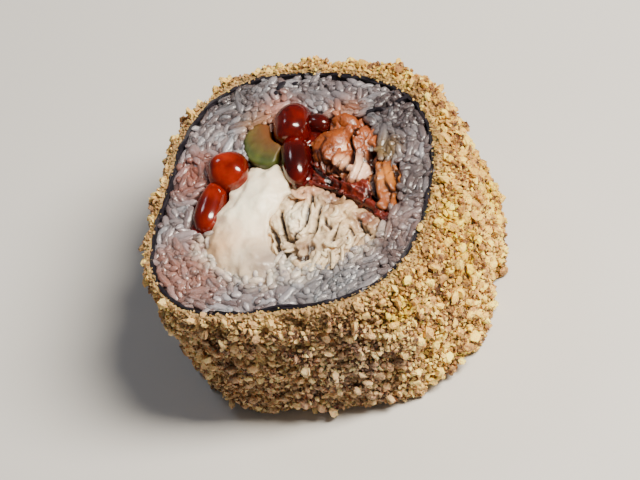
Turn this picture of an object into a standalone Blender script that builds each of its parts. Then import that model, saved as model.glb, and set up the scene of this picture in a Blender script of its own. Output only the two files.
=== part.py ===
"""One cut piece of a thick fried sushi roll, lying on one cut face with the other face up.

Units are metres, +Z is up, and the origin is on the surface that the piece rests on, under the
middle of its bounding box. A coat of fried breadcrumbs wraps a seaweed sheet, the sheet wraps the
rice, and the fillings run through the rice from one cut to the other.
"""

import math
import random
from collections import namedtuple

import bmesh
import bpy
from mathutils import Euler, Matrix, Vector, noise

# The piece as a whole
SLICE_HEIGHT = 0.0254
FIT_GAP = 0.0003  # between neighbouring pieces
CUTTER_OVERRUN = 0.004  # how far a cutter passes both cut faces

# The seaweed: a rolling mat presses the roll a little square, and not quite evenly
ROLL_RADIUS = 0.0218
SQUARE_RISE = 0.00115
SQUARE_CREST_DEG = 9.8
THREE_SIDED_RISE = 0.00075
THREE_SIDED_CREST_DEG = -44.0
NORI_THICKNESS = 0.0005
NORI_SEGMENTS = 72
# The sheet's inner end turns in from the ring and stops short of the fillings
TONGUE_ROUTE = ((0.0217, 0.0044), (0.0176, 0.0048), (0.0151, 0.0060))
STRIP_STEPS = 6

# The breadcrumb coat, thicker on the side of +X
COAT_THICKNESS = 0.0026
COAT_SWING = 0.0013
COAT_THICK_SIDE_DEG = 10.0
COAT_SEGMENTS = 124
COAT_WALL_ROWS = 14
COAT_RIM_ROUND = 0.0012
COAT_BULGE = 0.0005
COAT_LEAST_WALL = 0.0008
CRAG_SIZE = 0.0036
CRAG_HEIGHT = 0.0017
CRAG_LEVEL = 0.35  # takes the mean off the crags, so that they rise and fall about the wall
CRAG_SHARE_ON_TOP = 0.45
SWELL_SIZE = 0.011
SWELL_HEIGHT = 0.0007
CRUMB_COUNT = 40
CRUMB_SIZES = (0.0024, 0.0038)
CRUMB_SPACING = 0.0070
CRUMB_FLOOR_CLEARANCE = 0.0026
CRUMB_WIDTH_SHARES = (0.6, 0.9)  # of its length
CRUMB_DEPTH_SHARE = 0.6
CRUMB_CORNER_SHARES = (0.8, 1.2)  # how far each corner is from the middle
CRUMB_LEAN = 0.5

# Roe: each ball shows on the cut, and more of them lie below it
Ball = namedtuple("Ball", "x y radius lift")
ROE_LEFT = (
    Ball(-0.0066, 0.0098, 0.0029, -0.0003),
    Ball(-0.0110, 0.0069, 0.0026, -0.0008),
    Ball(-0.0136, 0.0041, 0.0020, -0.0007),
)
ROE_MIDDLE = (
    Ball(0.0048, 0.0109, 0.0032, -0.0003),
    Ball(0.0030, 0.0056, 0.0027, -0.0007),
    Ball(0.0022, 0.0027, 0.0018, -0.0007),
    Ball(0.0084, 0.0095, 0.0018, -0.0006),
)
ROE_BED_SHARE = 0.97  # the roe below the cut, as a share of the radius of the balls that show
ROE_BED_SINK = 0.0012
ROE_OUTLINE_STEPS = 80

# Fillings: corners of a smooth outline on the cut, how deep its edge is sunk, and how far it swells
Filling = namedtuple("Filling", "corners sink dome")
CUCUMBER = Filling(
    (
        (-0.0028, 0.0093),
        (-0.0023, 0.0130),
        (0.0008, 0.0145),
        (0.0029, 0.0113),
        (0.0016, 0.0078),
        (-0.0008, 0.0069),
    ),
    sink=0.0010,
    dome=0.0003,
)
SALMON = Filling(
    (
        (0.0052, 0.0036),
        (0.0064, 0.0072),
        (0.0098, 0.0086),
        (0.0137, 0.0066),
        (0.0147, 0.0022),
        (0.0134, -0.0019),
        (0.0100, -0.0042),
        (0.0066, -0.0014),
    ),
    sink=0.0008,
    dome=0.0006,
)
SALMON_END = Filling(
    (
        (0.0108, -0.0050),
        (0.0128, -0.0022),
        (0.0149, -0.0044),
        (0.0144, -0.0080),
        (0.0114, -0.0114),
        (0.0096, -0.0098),
    ),
    sink=0.0006,
    dome=0.0005,
)
CRAB = Filling(
    (
        (0.0006, 0.0006),
        (0.0040, -0.0014),
        (0.0062, -0.0060),
        (0.0084, -0.0116),
        (0.0060, -0.0152),
        (0.0004, -0.0159),
        (-0.0046, -0.0134),
        (-0.0063, -0.0074),
        (-0.0044, -0.0016),
    ),
    sink=0.0009,
    dome=0.0007,
)
CHEESE = Filling(
    (
        (-0.0034, 0.0090),
        (0.0010, 0.0084),
        (0.0028, 0.0028),
        (-0.0010, -0.0030),
        (-0.0054, -0.0088),
        (-0.0086, -0.0114),
        (-0.0132, -0.0096),
        (-0.0157, -0.0036),
        (-0.0138, 0.0044),
        (-0.0080, 0.0092),
    ),
    sink=0.0003,
    dome=0.0010,
)
# A strip of dark fish fills what is left between the salmon and the crab
DARK_FISH = Filling(
    (
        (0.0000, 0.0016),
        (0.0030, 0.0034),
        (0.0062, 0.0030),
        (0.0098, -0.0024),
        (0.0116, -0.0044),
        (0.0106, -0.0110),
        (0.0090, -0.0126),
        (0.0056, -0.0072),
        (0.0034, -0.0030),
    ),
    sink=0.0010,
    dome=0.0004,
)
STEPS_PER_CORNER = 4
DOME_RINGS = (1.0, 0.86, 0.64, 0.36)

# Small pieces that stand out of the upper cut
Scatter = namedtuple("Scatter", "count length width thickness spacing lean_deg sink sides seed")
GRAINS = Scatter(64, 0.0054, 0.0025, 0.0023, 0.0033, 30.0, 0.0006, 6, 8)
SHREDS = Scatter(28, 0.0040, 0.0012, 0.0011, 0.0014, 14.0, 0.0006, 5, 5)
FLAKES = Scatter(7, 0.0056, 0.0034, 0.0012, 0.0024, 22.0, 0.0003, 8, 12)
SIZE_SHARES = (0.85, 1.0)
SINK_SHARES = (0.6, 1.3)
EDGE_CLEARANCE = 0.0006
TRIES_PER_PIECE = 300

COLOURS = {
    "fried_crumb": ((0.62, 0.42, 0.17), 0.85),
    "seaweed": ((0.012, 0.016, 0.014), 0.45),
    "rice": ((0.58, 0.54, 0.53), 0.55),
    "cream_cheese": ((0.85, 0.78, 0.68), 0.50),
    "cucumber": ((0.24, 0.34, 0.09), 0.35),
    "salmon": ((0.62, 0.24, 0.10), 0.45),
    "dark_fish": ((0.20, 0.035, 0.02), 0.40),
    "white_crab": ((0.74, 0.62, 0.48), 0.50),
    "roe": ((0.42, 0.03, 0.012), 0.10),
}


def clear_scene():
    for leftover in list(bpy.data.objects):
        bpy.data.objects.remove(leftover)


def make_materials():
    made = {}
    for name, (colour, roughness) in COLOURS.items():
        material = bpy.data.materials.new(name)
        material.use_nodes = True
        shader = material.node_tree.nodes["Principled BSDF"]
        shader.inputs["Base Color"].default_value = (*colour, 1.0)
        shader.inputs["Roughness"].default_value = roughness
        shader.inputs["Metallic"].default_value = 0.0
        made[name] = material
    return made


def object_from(bm, name, material=None, collection=None):
    bmesh.ops.recalc_face_normals(bm, faces=bm.faces)
    mesh = bpy.data.meshes.new(name)
    bm.to_mesh(mesh)
    bm.free()
    if material:
        mesh.materials.append(material)
    made = bpy.data.objects.new(name, mesh)
    (collection or bpy.context.scene.collection).objects.link(made)
    return made


def apply_modifiers(target):
    """Puts the evaluated mesh in the object's place, so that its helpers can go."""
    graph = bpy.context.evaluated_depsgraph_get()
    mesh = bpy.data.meshes.new_from_object(target.evaluated_get(graph))
    target.modifiers.clear()
    target.data = mesh


def helper_collection(name):
    collection = bpy.data.collections.new(name)
    bpy.context.scene.collection.children.link(collection)
    return collection


def join_into(target, collection):
    """Fuses every object of the collection onto the target, and removes them."""
    union = target.modifiers.new("Fuse", "BOOLEAN")
    union.operation = "UNION"
    union.operand_type = "COLLECTION"
    union.collection = collection
    apply_modifiers(target)
    for helper in list(collection.objects):
        bpy.data.objects.remove(helper)
    bpy.data.collections.remove(collection)


def cut_by(target, cutters):
    for cutter in cutters:
        cut = target.modifiers.new("Clear of " + cutter.name, "BOOLEAN")
        cut.operation = "DIFFERENCE"
        cut.object = cutter
    apply_modifiers(target)


def drop_scraps(target):
    """Keeps the largest body of the mesh, and drops what a cut left loose beside it."""
    bm = bmesh.new()
    bm.from_mesh(target.data)
    unseen = set(bm.verts)
    bodies = []
    while unseen:
        body, edge = set(), [unseen.pop()]
        while edge:
            vertex = edge.pop()
            body.add(vertex)
            for link in vertex.link_edges:
                other = link.other_vert(vertex)
                if other in unseen:
                    unseen.remove(other)
                    edge.append(other)
        bodies.append(body)
    bodies.sort(key=len)
    for body in bodies[:-1]:
        bmesh.ops.delete(bm, geom=list(body), context="VERTS")
    bm.to_mesh(target.data)
    bm.free()


# Outlines on the cut face


def roll_radius(angle):
    """Distance from the axis to the outside of the seaweed."""
    square = SQUARE_RISE * math.cos(4 * (angle - math.radians(SQUARE_CREST_DEG)))
    three = THREE_SIDED_RISE * math.cos(3 * (angle - math.radians(THREE_SIDED_CREST_DEG)))
    return ROLL_RADIUS + square + three


def coat_thickness(angle):
    return COAT_THICKNESS + COAT_SWING * math.cos(angle - math.radians(COAT_THICK_SIDE_DEG))


def ring_outline(offset):
    points = []
    for i in range(NORI_SEGMENTS):
        angle = math.tau * i / NORI_SEGMENTS
        points.append(Vector((math.cos(angle), math.sin(angle))) * (roll_radius(angle) + offset))
    return points


def grown(outline, distance):
    """The outline moved outwards along its own normals. It runs counter-clockwise."""
    points = []
    for i, point in enumerate(outline):
        along = (outline[(i + 1) % len(outline)] - outline[i - 1]).normalized()
        points.append(point + Vector((along.y, -along.x)) * distance)
    return points


def counter_clockwise(outline):
    area = sum(p.cross(q) for p, q in zip(outline, outline[1:] + outline[:1]))
    return outline if area > 0 else outline[::-1]


def smooth_outline(corners):
    """A closed curve that passes smoothly through the corners."""
    knots = [Vector(corner) for corner in corners]
    points = []
    for i, start in enumerate(knots):
        before, end, after = knots[i - 1], knots[(i + 1) % len(knots)], knots[(i + 2) % len(knots)]
        for step in range(STEPS_PER_CORNER):
            t = step / STEPS_PER_CORNER
            straight = start * (2 * t**3 - 3 * t**2 + 1) + end * (3 * t**2 - 2 * t**3)
            leaving = (end - before) / 2 * (t**3 - 2 * t**2 + t)
            arriving = (after - start) / 2 * (t**3 - t**2)
            points.append(straight + leaving + arriving)
    return counter_clockwise(points)


def strip_outline(route, width):
    """A strip of even width along a curve that leaves its start and ends towards one bend."""
    start, bend, end = (Vector(point) for point in route)
    left, right = [], []
    for i in range(STRIP_STEPS + 1):
        t = i / STRIP_STEPS
        point = start * (1 - t) ** 2 + bend * 2 * t * (1 - t) + end * t**2
        way = ((bend - start) * (1 - t) + (end - bend) * t).normalized()
        side = Vector((-way.y, way.x)) * width / 2
        left.append(point + side)
        right.append(point - side)
    return counter_clockwise(left + right[::-1])


def strip_room(route, width):
    """The outline of a strip with its gap, on all four sides."""
    start, bend, end = (Vector(point) for point in route)
    start = start - (bend - start).normalized() * FIT_GAP
    end = end + (end - bend).normalized() * FIT_GAP
    return strip_outline((start, bend, end), width + 2 * FIT_GAP)


def cluster_outline(balls, share, gap=0.0):
    """Outline round a cluster of balls, from its middle: the furthest ball each way sets it."""
    middle = sum((Vector((ball.x, ball.y)) for ball in balls), Vector((0, 0))) / len(balls)
    points = []
    for i in range(ROE_OUTLINE_STEPS):
        angle = math.tau * i / ROE_OUTLINE_STEPS
        way = Vector((math.cos(angle), math.sin(angle)))
        reach = 0.0
        for ball in balls:
            offset = Vector((ball.x, ball.y)) - middle
            radius = ball.radius * share + gap
            aside = abs(offset.cross(way))
            if aside < radius:
                reach = max(reach, offset.dot(way) + math.sqrt(radius**2 - aside**2))
        points.append(middle + way * reach)
    return points


def is_inside(outline, place):
    inside = False
    for p, q in zip(outline, outline[1:] + outline[:1]):
        if (p.y > place.y) != (q.y > place.y):
            if place.x < (q.x - p.x) * (place.y - p.y) / (q.y - p.y) + p.x:
                inside = not inside
    return inside


# Solids


def column(name, outline, top, dome=0.0, rings=(1.0,), material=None, low=0.0):
    """A column on the outline, whose upper end swells to a low dome."""
    middle = sum(outline, Vector((0, 0))) / len(outline)
    bm = bmesh.new()
    loops = [[bm.verts.new((p.x, p.y, low)) for p in outline]]
    for share in rings:
        rise = top + dome * (1 - share**2)
        loops.append([bm.verts.new((*(middle + (p - middle) * share), rise)) for p in outline])
    bm.faces.new(loops[0][::-1])
    for lower, upper in zip(loops, loops[1:]):
        for i, vertex in enumerate(lower):
            j = (i + 1) % len(lower)
            bm.faces.new((vertex, lower[j], upper[j], upper[i]))
    bm.faces.new(loops[-1])
    return object_from(bm, name, material)


def room_for(name, outline):
    """A cutter that clears an outline from below one cut face to above the other."""
    top = SLICE_HEIGHT + CUTTER_OVERRUN
    cutter = column(name + "_room", outline, top, low=-CUTTER_OVERRUN)
    cutter.hide_render = True
    cutter.display_type = "WIRE"
    return cutter


def nearest_way(outlines, place):
    """From the place to the nearest point of all the outlines."""
    ways = []
    for outline in outlines:
        for p, q in zip(outline, outline[1:] + outline[:1]):
            share = (place - p).dot(q - p) / (q - p).length_squared
            ways.append(p.lerp(q, min(max(share, 0.0), 1.0)) - place)
    return min(ways, key=lambda way: way.length_squared)


def scatter_places(scatter, home, others, draw):
    """Places inside the home outline and clear of the others, each with the way it points.

    A piece that is too close to an edge to point any way lies along that edge.
    """
    half = scatter.length / 2
    reach = max(point.length for point in home)
    found = []
    for _ in range(scatter.count * TRIES_PER_PIECE):
        if len(found) == scatter.count:
            break
        place = Vector((draw.uniform(-reach, reach), draw.uniform(-reach, reach)))
        if not is_inside(home, place) or any(is_inside(other, place) for other in others):
            continue
        edge = nearest_way([home] + others, place)
        if edge.length < scatter.width / 2 + EDGE_CLEARANCE:
            continue
        if any((place - other).length < scatter.spacing for other, _ in found):
            continue
        way = draw.uniform(0, math.tau)
        if edge.length < half:
            way = math.atan2(edge.y, edge.x) + math.pi / 2
        found.append((place, way))
    return found


def scatter_onto(target, scatter, home, others, material):
    """Fuses small pieces on the upper cut."""
    draw = random.Random(scatter.seed)
    half = scatter.length / 2
    pieces = helper_collection(target.name + "_pieces")
    lean = math.radians(scatter.lean_deg)
    for place, way in scatter_places(scatter, home, others, draw):
        size = draw.uniform(*SIZE_SHARES)
        turn = Euler((draw.uniform(-lean, lean), draw.uniform(-lean, lean), way))
        shape = Matrix.Diagonal((half * size, scatter.width / 2 * size, scatter.thickness / 2, 1))
        middle = Matrix.Translation((*place, SLICE_HEIGHT - scatter.sink * draw.uniform(*SINK_SHARES)))
        bm = bmesh.new()
        bmesh.ops.create_uvsphere(bm, u_segments=scatter.sides, v_segments=4, radius=1.0)
        bm.transform(middle @ turn.to_matrix().to_4x4() @ shape @ Matrix.Rotation(math.pi / 2, 4, "Y"))
        object_from(bm, target.name + "_piece", material, pieces)
    join_into(target, pieces)


def make_filling(name, filling, material, cutters):
    outline = smooth_outline(filling.corners)
    made = column(name, outline, SLICE_HEIGHT - filling.sink, filling.dome, DOME_RINGS, material)
    cut_by(made, cutters)
    drop_scraps(made)
    return made


def make_roe(name, balls, material):
    outline = cluster_outline(balls, ROE_BED_SHARE)
    bed = column(name, outline, SLICE_HEIGHT - ROE_BED_SINK, material=material)
    cluster = helper_collection(name + "_balls")
    for ball in balls:
        bm = bmesh.new()
        place = Matrix.Translation((ball.x, ball.y, SLICE_HEIGHT + ball.lift))
        bmesh.ops.create_icosphere(bm, subdivisions=2, radius=ball.radius, matrix=place)
        object_from(bm, name + "_ball", material, cluster)
    join_into(bed, cluster)


def make_nori(material):
    """The sheet's ring, with its inner end fused to it as a tongue."""
    sheet = column("nori", ring_outline(0.0), SLICE_HEIGHT, material=material)
    bore = room_for("roll", ring_outline(-NORI_THICKNESS))
    cut_by(sheet, [bore])
    bpy.data.objects.remove(bore)
    ends = helper_collection("sheet_end")
    tongue = column("tongue", strip_outline(TONGUE_ROUTE, NORI_THICKNESS), SLICE_HEIGHT)
    bpy.context.scene.collection.objects.unlink(tongue)
    ends.objects.link(tongue)
    join_into(sheet, ends)


def crag(place):
    """Relief of the fried surface: small sharp crumbs on slow swells."""
    distances, _ = noise.voronoi(place / CRAG_SIZE)
    crumb = CRAG_HEIGHT * (distances[1] - distances[0] - CRAG_LEVEL)
    return crumb + SWELL_HEIGHT * noise.noise(place / SWELL_SIZE)


def coat_section(angle):
    """The coat's section at an angle: up the inside, over the rim and down the wall."""
    way = Vector((math.cos(angle), math.sin(angle), 0.0))
    inner = roll_radius(angle) + FIT_GAP
    outer = roll_radius(angle) + coat_thickness(angle)
    middle = (inner + outer) / 2
    rim = way * middle + Vector((0, 0, SLICE_HEIGHT))
    points = [way * inner, way * inner + Vector((0, 0, SLICE_HEIGHT))]
    points.append(rim + Vector((0, 0, CRAG_SHARE_ON_TOP * crag(rim))))
    for row in range(COAT_WALL_ROWS + 1):
        share = 1 - row / COAT_WALL_ROWS
        place = way * outer + Vector((0, 0, share * (SLICE_HEIGHT - COAT_RIM_ROUND / 2)))
        rounding = COAT_RIM_ROUND / 2 if row in (0, COAT_WALL_ROWS) else 0.0
        radius = outer + COAT_BULGE * math.sin(math.pi * share) - rounding + crag(place)
        radius = max(radius, inner + COAT_LEAST_WALL)
        points.append(Vector((way.x * radius, way.y * radius, place.z)))
    return points


def make_coat(material):
    bm = bmesh.new()
    sections = []
    for i in range(COAT_SEGMENTS):
        sections.append([bm.verts.new(point) for point in coat_section(math.tau * i / COAT_SEGMENTS)])
    for i, section in enumerate(sections):
        following = sections[(i + 1) % COAT_SEGMENTS]
        for j in range(len(section)):
            k = (j + 1) % len(section)
            bm.faces.new((section[j], following[j], following[k], section[k]))
    coat = object_from(bm, "crumb_coat", material)
    join_into(coat, make_crumbs(material))


def crumb_places(draw):
    """Places spread evenly on the wall: each keeps its distance from those before it."""
    places = []
    for _ in range(CRUMB_COUNT * TRIES_PER_PIECE):
        if len(places) == CRUMB_COUNT:
            break
        angle = draw.uniform(0, math.tau)
        height = draw.uniform(CRUMB_FLOOR_CLEARANCE, SLICE_HEIGHT - COAT_RIM_ROUND)
        radius = roll_radius(angle) + coat_thickness(angle)
        place = Vector((radius * math.cos(angle), radius * math.sin(angle), height))
        if all((place - other).length > CRUMB_SPACING for other in places):
            places.append(place)
    return places


def make_crumbs(material):
    """The largest crumbs, as angular flakes that stick out of the coat."""
    draw = random.Random(21)
    crumbs = helper_collection("crumbs")
    for place in crumb_places(draw):
        size = draw.uniform(*CRUMB_SIZES)
        shape = Matrix.Diagonal((size, size * draw.uniform(*CRUMB_WIDTH_SHARES), size * CRUMB_DEPTH_SHARE, 1))
        outwards = Vector((place.x, place.y, 0.0)).to_track_quat("Z", "Y").to_matrix().to_4x4()
        lean = Euler([draw.uniform(-CRUMB_LEAN, CRUMB_LEAN) for _ in range(3)]).to_matrix().to_4x4()
        bm = bmesh.new()
        bmesh.ops.create_icosphere(bm, subdivisions=1, radius=0.5)
        for vertex in bm.verts:
            vertex.co *= draw.uniform(*CRUMB_CORNER_SHARES)
        bm.transform(Matrix.Translation(place) @ outwards @ lean @ shape)
        object_from(bm, "crumb", material, crumbs)
    return crumbs


def stand_on_origin():
    """Moves every object so that the origin is under the middle of the whole piece."""
    points = []
    for piece in bpy.context.scene.objects:
        if not piece.hide_render:
            points += [vertex.co for vertex in piece.data.vertices]
    low = Vector([min(point[axis] for point in points) for axis in range(3)])
    high = Vector([max(point[axis] for point in points) for axis in range(3)])
    shift = Vector((-(low.x + high.x) / 2, -(low.y + high.y) / 2, -low.z))
    for piece in bpy.context.scene.objects:
        piece.location += shift


def main():
    clear_scene()
    finish = make_materials()
    cutters, rooms = [], []

    def keep_room(name, outline):
        rooms.append(outline)
        cutters.append(room_for(name, outline))

    # Each piece gives way to those made before it
    for name, balls in (("roe_left", ROE_LEFT), ("roe_middle", ROE_MIDDLE)):
        make_roe(name, balls, finish["roe"])
        keep_room(name, cluster_outline(balls, 1.0, FIT_GAP))

    make_filling("cucumber", CUCUMBER, finish["cucumber"], cutters)
    keep_room("cucumber", grown(smooth_outline(CUCUMBER.corners), FIT_GAP))

    for name, filling in (("salmon", SALMON), ("salmon_end", SALMON_END)):
        piece = make_filling(name, filling, finish["salmon"], cutters)
        scatter_onto(piece, FLAKES, smooth_outline(filling.corners), rooms, finish["salmon"])
        keep_room(name, grown(smooth_outline(filling.corners), FIT_GAP))

    crab = make_filling("crab", CRAB, finish["white_crab"], cutters)
    scatter_onto(crab, SHREDS, smooth_outline(CRAB.corners), rooms, finish["white_crab"])
    keep_room("crab", grown(smooth_outline(CRAB.corners), FIT_GAP))

    for name, filling in (("dark_fish", DARK_FISH), ("cream_cheese", CHEESE)):
        make_filling(name, filling, finish[name], cutters)
        keep_room(name, grown(smooth_outline(filling.corners), FIT_GAP))

    keep_room("tongue", strip_room(TONGUE_ROUTE, NORI_THICKNESS))
    inside_nori = ring_outline(-NORI_THICKNESS - FIT_GAP)
    rice = column("rice", inside_nori, SLICE_HEIGHT, material=finish["rice"])
    cut_by(rice, cutters)
    drop_scraps(rice)
    scatter_onto(rice, GRAINS, inside_nori, rooms, finish["rice"])

    make_nori(finish["seaweed"])
    make_coat(finish["fried_crumb"])
    for cutter in cutters:
        bpy.data.objects.remove(cutter)
    stand_on_origin()


main()
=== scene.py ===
# %% [markdown]
# One slice of a fried sushi roll lies on its cut side and shows the other one.
# From the outside in it is a coat of fried bread crumbs, a sheet of seaweed, a ring of rice and
# the fillings. The solid model already has every layer at its real size. This file gives each its
# real surface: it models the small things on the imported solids, then the finishes, light and camera.

import math
import random

import bpy
from mathutils import Euler, Matrix, Vector, noise
from mathutils.bvhtree import BVHTree
from mathutils.kdtree import KDTree


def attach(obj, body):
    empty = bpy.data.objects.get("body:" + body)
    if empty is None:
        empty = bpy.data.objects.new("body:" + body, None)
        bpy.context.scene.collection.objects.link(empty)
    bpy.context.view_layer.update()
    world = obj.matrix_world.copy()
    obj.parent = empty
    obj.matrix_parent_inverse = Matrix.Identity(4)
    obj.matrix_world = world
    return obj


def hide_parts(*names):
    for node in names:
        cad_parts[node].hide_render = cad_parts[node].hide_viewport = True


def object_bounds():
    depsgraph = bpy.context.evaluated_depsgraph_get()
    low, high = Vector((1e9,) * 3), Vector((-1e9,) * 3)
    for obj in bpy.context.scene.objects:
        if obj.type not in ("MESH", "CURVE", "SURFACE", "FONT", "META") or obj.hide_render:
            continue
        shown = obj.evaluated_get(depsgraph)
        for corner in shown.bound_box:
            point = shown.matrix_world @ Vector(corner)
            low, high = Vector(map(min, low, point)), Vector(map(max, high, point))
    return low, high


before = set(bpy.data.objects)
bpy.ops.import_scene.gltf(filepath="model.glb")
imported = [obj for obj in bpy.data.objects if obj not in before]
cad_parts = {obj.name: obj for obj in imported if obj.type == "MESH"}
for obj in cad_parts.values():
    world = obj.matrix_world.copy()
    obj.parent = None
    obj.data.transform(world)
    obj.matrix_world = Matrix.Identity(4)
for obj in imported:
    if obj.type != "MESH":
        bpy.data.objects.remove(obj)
cad_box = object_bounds()
noise.seed_set(3)  # the vector noise follows the clock unless it gets a seed
print("The solid model reaches from", cad_box[0], "to", cad_box[1])

# %% [markdown]
# Blender works in metres, and food is measured in millimetres, so one millimetre gets a name.
# The middle of the roll isn't quite the origin, because the crumb coat is thicker on one side.
# A place on the cut face is written as a cook would point at it: so far right, so far up, so far out.

# %% Name the roll's main measures
MM = 0.001
ROLL_AXIS = Vector((-0.622 * MM, -0.661 * MM, 0))
SLICE_HEIGHT = 25.4 * MM
FLOOR_GAP = 0.02 * MM
MERGE_REACH = 0.001 * MM
UP, DOWN = Vector((0, 0, 1)), Vector((0, 0, -1))


def on_face(x, y, lift=0):
    """The point x and y millimetres from the roll's axis, lift millimetres above the cut face."""
    return ROLL_AXIS + Vector((x * MM, y * MM, SLICE_HEIGHT + lift * MM))


print("The middle of the cut face is at", on_face(0, 0))

# %% [markdown]
# Operators act on whatever is selected, as the mouse and keyboard do.
# A script therefore says each time which piece it means, and these helpers do that in one word.
# A solid is never changed: a piece starts as a copy of it with its loose triangles merged.

# %% Helpers that pick, copy and shape a piece
def pick(*pieces):
    """Select only these pieces and make the first one active."""
    bpy.ops.object.select_all(action="DESELECT")
    for piece in pieces:
        piece.select_set(True)
    bpy.context.view_layer.objects.active = pieces[0]


def in_scene(name, data):
    """A new object in the scene that shows a mesh, a light or a camera."""
    made = bpy.data.objects.new(name, data)
    bpy.context.scene.collection.objects.link(made)
    return made


def apply_modifier(piece, kind, **settings):
    """Add one modifier with these settings and make its result the mesh."""
    pick(piece)
    modifier = piece.modifiers.new(kind.lower(), kind)
    for name, value in settings.items():
        setattr(modifier, name, value)
    bpy.ops.object.modifier_apply(modifier=modifier.name)


def copy_of(node, name):
    """A merged copy of a solid, as a piece of its own."""
    piece = in_scene(name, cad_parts[node].data.copy())
    piece.data.materials.clear()
    pick(piece)
    bpy.ops.mesh.customdata_custom_splitnormals_clear()
    bpy.ops.object.mode_set(mode="EDIT")
    bpy.ops.mesh.select_all(action="SELECT")
    bpy.ops.mesh.remove_doubles(threshold=MERGE_REACH)
    bpy.ops.object.mode_set(mode="OBJECT")
    return piece


def remesh(piece, size):
    """Give the piece an even skin of small faces, so that relief has points to move."""
    apply_modifier(piece, "REMESH", mode="VOXEL", voxel_size=size, use_smooth_shade=True)


def relief(piece, size, height, group="", middle=0.5, depth=2):
    """Raise and sink the surface by a cloud texture whose lumps are about this size."""
    texture = bpy.data.textures.new(piece.name + "_relief", "CLOUDS")
    texture.noise_scale = size
    texture.noise_depth = depth
    apply_modifier(piece, "DISPLACE", texture=texture, texture_coords="LOCAL", strength=height,
                   mid_level=middle, vertex_group=group)


def grow(piece, amount):
    """Move the whole surface outwards."""
    apply_modifier(piece, "DISPLACE", strength=amount, mid_level=0)


def note(piece, name, values):
    """Keep a number at each point, as an attribute that nodes can read."""
    piece.data.attributes.new(name, "FLOAT", "POINT").data.foreach_set("value", values)


def skin_of(piece):
    """A search tree of a piece's surface, which answers where the nearest or next surface is."""
    bpy.context.view_layer.update()
    return BVHTree.FromObject(piece, bpy.context.evaluated_depsgraph_get())


SKINS = {node: skin_of(solid) for node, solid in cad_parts.items()}
print("Solids to dress:", sorted(SKINS))

# %% [markdown]
# Small things such as rice grains repeat hundreds of times and still must be real mesh.
# Each shape is modelled once, with few faces, and a list of places says where its copies go.
# One joined mesh then holds all copies of a kind, and each copy carries a number from 0 to 1
# named tint, which its material turns into a lighter or darker colour.

# %% Helpers that squeeze a shape and plant its copies
def squeezed(name, sides, loose=0, uniform=0, seed=0):
    """Name the primitive just added, stretch it in edit mode and shake its points by a seed."""
    shape = bpy.context.object
    shape.name = name
    bpy.ops.object.mode_set(mode="EDIT")
    bpy.ops.transform.resize(value=sides, center_override=(0, 0, 0))
    if loose:
        bpy.ops.transform.vertex_random(offset=loose, uniform=uniform, normal=0, seed=seed)
    bpy.ops.object.mode_set(mode="OBJECT")
    return shape


def planted(name, shapes, places):
    """One mesh of many copies. A place is a shape's number, a matrix and a tint."""
    points, faces, tints = [], [], []
    for number, matrix, tint in places:
        shape = shapes[number].data
        first = len(points)
        points += [matrix @ point.co for point in shape.vertices]
        faces += [[first + index for index in face.vertices] for face in shape.polygons]
        tints += [tint] * len(shape.vertices)
    mesh = bpy.data.meshes.new(name)
    mesh.from_pydata(points, [], faces)
    piece = in_scene(name, mesh)
    note(piece, "tint", tints)
    pick(piece)
    bpy.ops.object.shade_smooth()
    throw_away(shapes)
    print(name, "has", len(places), "copies")
    return piece


def throw_away(shapes):
    """Remove the single shapes once their copies are planted."""
    for shape in shapes:
        bpy.data.objects.remove(shape)


# %% [markdown]
# The fried coat comes first. On the real roll wet batter holds dry crumbs, and hot oil sets them.
# Batter and crumbs make one craggy crust, so a copy of the coat gets an even skin of fine faces,
# and cloud textures push lumps out of it. Only the outside is lumpy: the inside lies on the seaweed,
# so a vertex group with the distance from the seaweed as its weight keeps the relief away there.

# %% Model the crust under the crumbs
CRUST_SKIN = 0.36 * MM
SEAWEED_GAP = 0.3 * MM
KEPT_GAP = 0.05


def ease(value, low, high):
    """Rise smoothly from 0 at low to 1 at high."""
    share = min(1, max(0, (value - low) / (high - low)))
    return share * share * (3 - 2 * share)


def weigh(piece, name, rule):
    """A vertex group whose weight at each point comes from a rule."""
    group = piece.vertex_groups.new(name=name)
    for point in piece.data.vertices:
        group.add([point.index], rule(point.co), "REPLACE")


def from_seaweed(place):
    """The distance from a place to the seaweed's surface."""
    return SKINS["nori"].find_nearest(place)[3]


def lay_on_seaweed(piece, reach):
    """Close most of the gap between the seaweed and the points that lie within this reach of it."""
    for point in piece.data.vertices:
        touch, _, _, gap = SKINS["nori"].find_nearest(point.co)
        if gap < reach:
            point.co = touch + (point.co - touch) * KEPT_GAP


crust = copy_of("crumb_coat", "crust")
remesh(crust, CRUST_SKIN)
lay_on_seaweed(crust, 1.6 * SEAWEED_GAP)
weigh(crust, "outside", lambda place: ease(from_seaweed(place), 0.4 * MM, 1.3 * MM))
relief(crust, 3.4 * MM, 2.6 * MM, group="outside", middle=0.6)
relief(crust, 1.1 * MM, 0.8 * MM, group="outside", middle=0.6, depth=1)
print("The crust has", len(crust.data.polygons), "faces")

# %% [markdown]
# A bread crumb is an angular shard, never a ball.
# The finest start as a cube or a short pyramid and the larger ones as a sphere of few faces.
# Each is squeezed flat, and its points are then moved at random, each variant by its own seed.
# Dust fills the gaps, shards cover the wall, and a few big flakes break the outline.

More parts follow.
